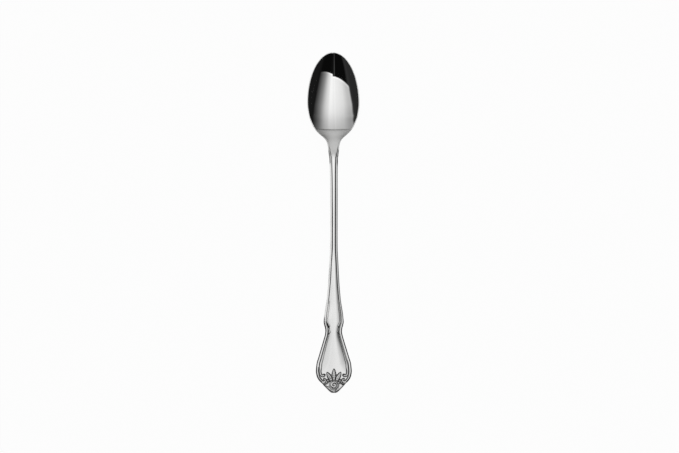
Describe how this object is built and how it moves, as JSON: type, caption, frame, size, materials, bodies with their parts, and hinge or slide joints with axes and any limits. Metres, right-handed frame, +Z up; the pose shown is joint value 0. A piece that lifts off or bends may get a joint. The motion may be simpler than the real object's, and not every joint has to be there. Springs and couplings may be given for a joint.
{
  "type": "iced tea spoon",
  "caption": "Long slender spoon with a small oval bowl, a ribbed arched shank and a pear-shaped handle end with scrolls, leaves and a rosette, for stirring tall glasses.",
  "frame": {"origin": "on the table, under the middle of the spoon's length and width", "axes": "+Y along the spoon from the handle's tip to the bowl's tip, +Z up out of the bowl, X across"},
  "size_m": [0.0292, 0.19, 0.0114],
  "materials": {
    "bowl_steel": "polished",
    "neck_steel": "polished",
    "shank_steel": "polished",
    "shoulder_steel": "polished",
    "panel_steel": "polished",
    "terminal_steel": "polished",
    "scroll_steel": "polished",
    "leaf_steel": "polished",
    "rosette_steel": "polished"
  },
  "bodies": {
    "root": {"bowl": "bowl_steel", "neck": "neck_steel", "shank": "shank_steel", "shoulder": "shoulder_steel", "panel": "panel_steel", "terminal": "terminal_steel", "scrolls": "scroll_steel", "leaves": "leaf_steel", "rosette": "rosette_steel"}
  },
  "joints": []
}
